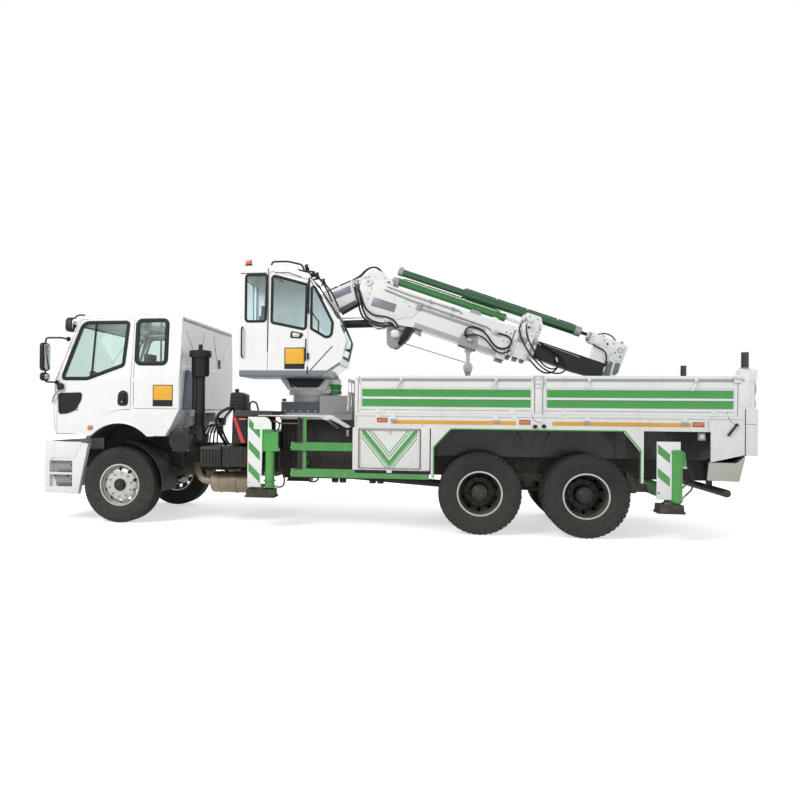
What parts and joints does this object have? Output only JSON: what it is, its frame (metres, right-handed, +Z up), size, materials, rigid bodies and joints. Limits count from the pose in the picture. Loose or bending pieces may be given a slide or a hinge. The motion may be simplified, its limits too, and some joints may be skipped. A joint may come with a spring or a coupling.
{
  "type": "knuckle boom crane truck",
  "caption": "Cab-over flatbed truck with drop sides, stabilizer legs and a folding telescopic crane with its own cab.",
  "frame": {"origin": "on the ground, under the middle of the truck's box", "axes": "+X to the truck's tail, +Y to its right-hand side, +Z up"},
  "size_m": [9.6488, 2.88, 3.7768],
  "materials": {
    "chassis_grey": "satin dark grey",
    "cast": "rough cast",
    "cab_white": "gloss white",
    "black_plastic": "grained",
    "black_paint": "satin black",
    "glass": "clear",
    "trim": "fabric and plastic",
    "tyre": "treaded",
    "boom_white": "gloss white",
    "boom_green": "gloss green",
    "boom_black": "satin black",
    "cylinder_green": "gloss green",
    "chrome": "polished",
    "board_grey": "satin",
    "deck": "satin grey",
    "exhaust": "dull"
  },
  "bodies": {
    "chassis": {"frame": "chassis_grey", "engine": "cast", "front_axle": "chassis_grey", "rear_axles": "chassis_grey", "front_bumper": "cab_white", "chassis_boxes": "black_paint", "silencer": "exhaust", "air_intake": "black_plastic", "mudguards": "black_plastic", "side_guards": "boom_green", "crane_base": "cab_white", "platform": "deck", "rear_stabilizers": "boom_green", "toolbox": "boom_green"},
    "cab": {"cab_shell": "cab_white", "cab_glass": "glass", "cab_interior": "trim", "cab_mirrors": "black_plastic"},
    "left_door": {"left_door": "cab_white", "left_door_glass": "glass"},
    "right_door": {"right_door": "cab_white", "right_door_glass": "glass"},
    "left_steering": {"left_knuckle": "cast"},
    "right_steering": {"right_knuckle": "cast"},
    "front_left_wheel": {"front_left_wheel": "tyre"},
    "front_right_wheel": {"front_right_wheel": "tyre"},
    "first_rear_left_wheel": {"first_rear_left_wheel": "tyre"},
    "first_rear_right_wheel": {"first_rear_right_wheel": "tyre"},
    "last_rear_left_wheel": {"last_rear_left_wheel": "tyre"},
    "last_rear_right_wheel": {"last_rear_right_wheel": "tyre"},
    "crane": {"crane_column": "cab_white", "crane_cab": "cab_white", "crane_cab_glass": "glass", "crane_seat": "trim"},
    "crane_door": {"crane_cab_door": "cab_white", "crane_cab_door_glass": "glass"},
    "inner_boom": {"inner_boom": "boom_white"},
    "lift_barrel": {"lift_barrel": "cylinder_green"},
    "lift_rod": {"lift_rod": "chrome"},
    "fold_barrel": {"fold_barrel": "boom_black"},
    "fold_rod": {"fold_rod": "chrome"},
    "outer_boom": {"outer_boom": "boom_white", "extension_cylinder_1": "cylinder_green"},
    "winch_drum": {"winch": "cast"},
    "extension_1": {"extension_1": "boom_white", "extension_cylinder_2": "cylinder_green"},
    "extension_2": {"extension_2": "boom_black"},
    "hook": {"hook": "cast"},
    "front_left_beam": {"front_left_beam": "boom_green"},
    "front_right_beam": {"front_right_beam": "boom_green"},
    "front_left_leg": {"front_left_leg": "boom_black"},
    "front_right_leg": {"front_right_leg": "boom_black"},
    "rear_left_leg": {"rear_left_leg": "boom_black"},
    "rear_right_leg": {"rear_right_leg": "boom_black"},
    "front_left_board": {"front_left_board": "board_grey"},
    "front_right_board": {"front_right_board": "board_grey"},
    "rear_left_board": {"rear_left_board": "board_grey"},
    "rear_right_board": {"rear_right_board": "board_grey"},
    "tailgate": {"tailgate": "board_grey"},
    "toolbox_door": {"toolbox_door": "cab_white"}
  },
  "joints": [
    {"name": "left_steering", "type": "hinge", "parent": "chassis", "child": "left_steering", "pos_m": [-3.625, -0.92, 0.538], "axis": [0, 0, 1], "range_deg": [-38, 38]},
    {"name": "front_left_wheel_spin", "type": "hinge", "parent": "left_steering", "child": "front_left_wheel", "pos_m": [-3.625, -1.05, 0.538], "axis": [0, 1, 0], "continuous": true},
    {"name": "first_rear_left_wheel_spin", "type": "hinge", "parent": "chassis", "child": "first_rear_left_wheel", "pos_m": [1.429, -0.875, 0.545], "axis": [0, 1, 0], "continuous": true},
    {"name": "last_rear_left_wheel_spin", "type": "hinge", "parent": "chassis", "child": "last_rear_left_wheel", "pos_m": [2.788, -0.875, 0.545], "axis": [0, 1, 0], "continuous": true},
    {"name": "right_steering", "type": "hinge", "parent": "chassis", "child": "right_steering", "pos_m": [-3.625, 0.92, 0.538], "axis": [0, 0, 1], "range_deg": [-38, 38]},
    {"name": "front_right_wheel_spin", "type": "hinge", "parent": "right_steering", "child": "front_right_wheel", "pos_m": [-3.625, 1.05, 0.538], "axis": [0, 1, 0], "continuous": true},
    {"name": "first_rear_right_wheel_spin", "type": "hinge", "parent": "chassis", "child": "first_rear_right_wheel", "pos_m": [1.429, 0.875, 0.545], "axis": [0, 1, 0], "continuous": true},
    {"name": "last_rear_right_wheel_spin", "type": "hinge", "parent": "chassis", "child": "last_rear_right_wheel", "pos_m": [2.788, 0.875, 0.545], "axis": [0, 1, 0], "continuous": true},
    {"name": "cab_tilt", "type": "hinge", "parent": "chassis", "child": "cab", "pos_m": [-4.575, 0, 0.95], "axis": [0, -1, 0], "range_deg": [0, 50]},
    {"name": "left_door_swing", "type": "hinge", "parent": "cab", "child": "left_door", "pos_m": [-4.525, -1.2, 1.7], "axis": [0, 0, -1], "range_deg": [0, 65]},
    {"name": "right_door_swing", "type": "hinge", "parent": "cab", "child": "right_door", "pos_m": [-4.525, 1.2, 1.7], "axis": [0, 0, 1], "range_deg": [0, 65]},
    {"name": "crane_slew", "type": "hinge", "parent": "chassis", "child": "crane", "pos_m": [-1.035, 0, 1.862], "axis": [0, 0, 1], "range_deg": [-125, 125]},
    {"name": "crane_door_swing", "type": "hinge", "parent": "crane", "child": "crane_door", "pos_m": [-1.45, -1.2, 2.8], "axis": [0, 0, -1], "range_deg": [0, 90]},
    {"name": "boom_lift", "type": "hinge", "parent": "crane", "child": "inner_boom", "pos_m": [-1.355, 0, 3.1], "axis": [0, -1, 0], "range_deg": [0, 55]},
    {"name": "lift_barrel_swing", "type": "hinge", "parent": "crane", "child": "lift_barrel", "pos_m": [-0.835, 0, 2.15], "axis": [0, -1, 0], "range_deg": [0, 6.04]},
    {"name": "lift_rod_slide", "type": "slide", "parent": "lift_barrel", "child": "lift_rod", "axis": [-0.0924, 0, 0.9957], "range_m": [0, 0.37745]},
    {"name": "boom_fold", "type": "hinge", "parent": "inner_boom", "child": "outer_boom", "pos_m": [-0.195, 0, 3.56], "axis": [0, -1, 0], "range_deg": [-4, 45]},
    {"name": "fold_barrel_swing", "type": "hinge", "parent": "inner_boom", "child": "fold_barrel", "pos_m": [-0.76, 0, 2.948], "axis": [0, -1, 0], "range_deg": [-1.43, 16.04]},
    {"name": "fold_rod_slide", "type": "slide", "parent": "fold_barrel", "child": "fold_rod", "axis": [0.9998, 0, 0.0208], "range_m": [-0.03694, 0.41553]},
    {"name": "extension_1_slide", "type": "slide", "parent": "outer_boom", "child": "extension_1", "axis": [0.9426, 0, -0.3338], "range_m": [0, 1.3]},
    {"name": "extension_2_slide", "type": "slide", "parent": "extension_1", "child": "extension_2", "axis": [0.9426, 0, -0.3338], "range_m": [0, 1.3]},
    {"name": "winch_turn", "type": "hinge", "parent": "outer_boom", "child": "winch_drum", "pos_m": [0.20518, 0, 2.78178], "axis": [0, 1, 0], "continuous": true},
    {"name": "hook_swing", "type": "hinge", "parent": "outer_boom", "child": "hook", "pos_m": [1.27888, 0, 2.53947], "axis": [0, 1, 0], "range_deg": [-50, 50]},
    {"name": "front_left_beam_slide", "type": "slide", "parent": "chassis", "child": "front_left_beam", "axis": [0, -1, 0], "range_m": [0, 1]},
    {"name": "front_left_leg_slide", "type": "slide", "parent": "front_left_beam", "child": "front_left_leg", "axis": [0, 0, -1], "range_m": [0, 0.424]},
    {"name": "rear_left_leg_slide", "type": "slide", "parent": "chassis", "child": "rear_left_leg", "axis": [0, 0, -1], "range_m": [0, 0.361]},
    {"name": "front_left_board_drop", "type": "hinge", "parent": "chassis", "child": "front_left_board", "pos_m": [0.262, -1.256, 1.6], "axis": [1, 0, 0], "range_deg": [0, 165]},
    {"name": "rear_left_board_drop", "type": "hinge", "parent": "chassis", "child": "rear_left_board", "pos_m": [0.262, -1.256, 1.6], "axis": [1, 0, 0], "range_deg": [0, 165]},
    {"name": "front_right_beam_slide", "type": "slide", "parent": "chassis", "child": "front_right_beam", "axis": [0, 1, 0], "range_m": [0, 1]},
    {"name": "front_right_leg_slide", "type": "slide", "parent": "front_right_beam", "child": "front_right_leg", "axis": [0, 0, -1], "range_m": [0, 0.424]},
    {"name": "rear_right_leg_slide", "type": "slide", "parent": "chassis", "child": "rear_right_leg", "axis": [0, 0, -1], "range_m": [0, 0.361]},
    {"name": "front_right_board_drop", "type": "hinge", "parent": "chassis", "child": "front_right_board", "pos_m": [0.262, 1.256, 1.6], "axis": [-1, 0, 0], "range_deg": [0, 165]},
    {"name": "rear_right_board_drop", "type": "hinge", "parent": "chassis", "child": "rear_right_board", "pos_m": [0.262, 1.256, 1.6], "axis": [-1, 0, 0], "range_deg": [0, 165]},
    {"name": "tailgate_drop", "type": "hinge", "parent": "chassis", "child": "tailgate", "pos_m": [4.819, 0, 1.694], "axis": [0, 1, 0], "range_deg": [0, 170]},
    {"name": "toolbox_door_drop", "type": "hinge", "parent": "chassis", "child": "toolbox_door", "pos_m": [0.162, -1.256, 0.86], "axis": [1, 0, 0], "range_deg": [0, 95]}
  ],
  "couplings": [
    {"joint": "right_steering", "follows": "left_steering", "ratio": 1},
    {"joint": "lift_barrel_swing", "follows": "boom_lift", "ratio": 0.10976},
    {"joint": "lift_rod_slide", "follows": "boom_lift", "m_per_rad": 0.39321},
    {"joint": "fold_barrel_swing", "follows": "boom_fold", "ratio": 0.35645},
    {"joint": "fold_rod_slide", "follows": "boom_fold", "m_per_rad": 0.52907}
  ]
}
